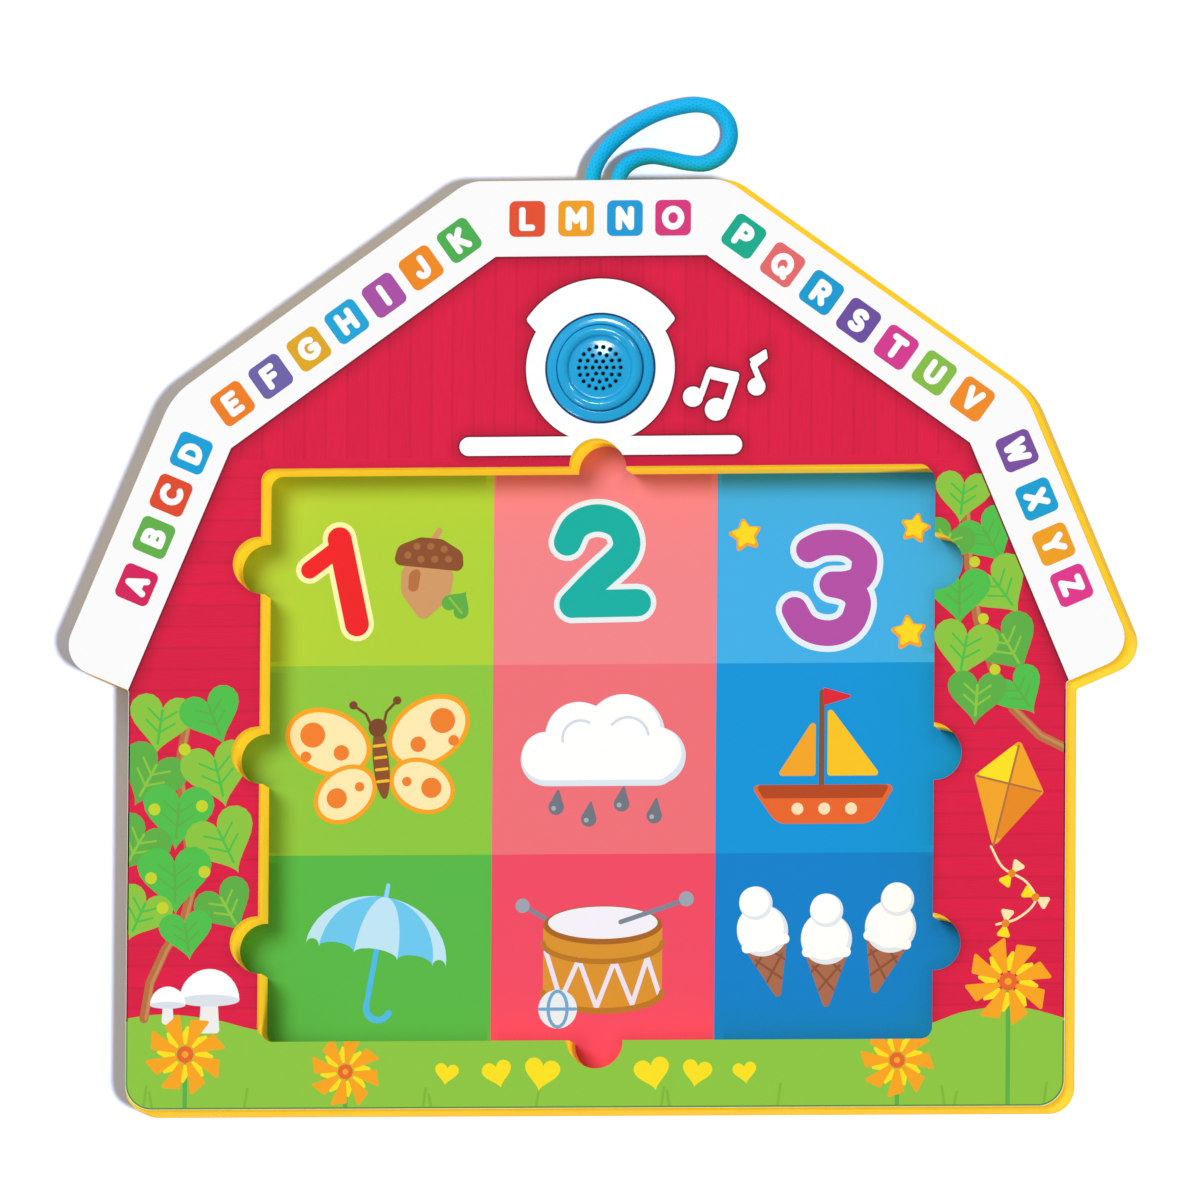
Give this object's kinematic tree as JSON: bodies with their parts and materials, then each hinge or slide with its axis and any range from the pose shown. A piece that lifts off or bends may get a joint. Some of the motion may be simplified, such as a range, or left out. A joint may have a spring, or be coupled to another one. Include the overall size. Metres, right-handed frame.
{
  "type": "musical puzzle",
  "caption": "Barn-shaped foam puzzle board with a tray for nine tiles, a press-button sound module with a speaker grille, and a cord loop at the top edge.",
  "frame": {"origin": "middle of the board's footprint, on the surface that the board lies on", "axes": "+Z out of the printed front, +Y towards the roof, +X to the right as seen from the front"},
  "size_m": [0.3566, 0.3406, 0.0211],
  "materials": {
    "yellow_foam": "matt closed-cell EVA foam, die-cut edges",
    "tray_print": "printed film, satin",
    "front_print": "printed film, satin",
    "blue_plastic": "moulded ABS, gloss",
    "white_plastic": "moulded ABS, satin",
    "steel": "plated steel",
    "carbon_rubber": "conductive rubber",
    "cone_paper": "pressed paper",
    "red_wire": "PVC insulation",
    "black_wire": "PVC insulation",
    "circuit": "glass-epoxy laminate with solder mask",
    "gold_pad": "plated copper",
    "chip_resin": "black potting resin",
    "blue_cord": "braided polyester cord"
  },
  "bodies": {
    "board": {"back_board": "yellow_foam", "tray_print": "tray_print", "foam_frame": "yellow_foam", "front_print": "front_print", "module_housing": "blue_plastic", "return_spring": "steel", "speaker_carrier": "white_plastic", "speaker_basket": "steel", "speaker_magnet": "steel", "speaker_cone": "cone_paper", "speaker_wire_red": "red_wire", "speaker_wire_black": "black_wire", "circuit_board": "circuit", "contact_pad": "gold_pad", "sound_chip": "chip_resin", "contact_plate_lower": "steel", "contact_plate_upper": "steel", "battery_holder": "white_plastic", "button_cell_1": "steel", "button_cell_2": "steel", "button_cell_3": "steel", "back_cover": "white_plastic", "cover_screw_1": "steel", "cover_screw_2": "steel", "cover_screw_3": "steel", "cord_loop": "blue_cord", "cord_knot_left": "blue_cord", "cord_knot_right": "blue_cord"},
    "press_button": {"button_cap": "blue_plastic", "contact_pill": "carbon_rubber"}
  },
  "joints": [
    {"name": "button_press", "type": "slide", "parent": "board", "child": "press_button", "axis": [0, 0, -1], "range_m": [0, 0.0015], "stiffness_N_per_m": 400, "springref_m": -0.003, "deforming": ["return_spring"]}
  ]
}
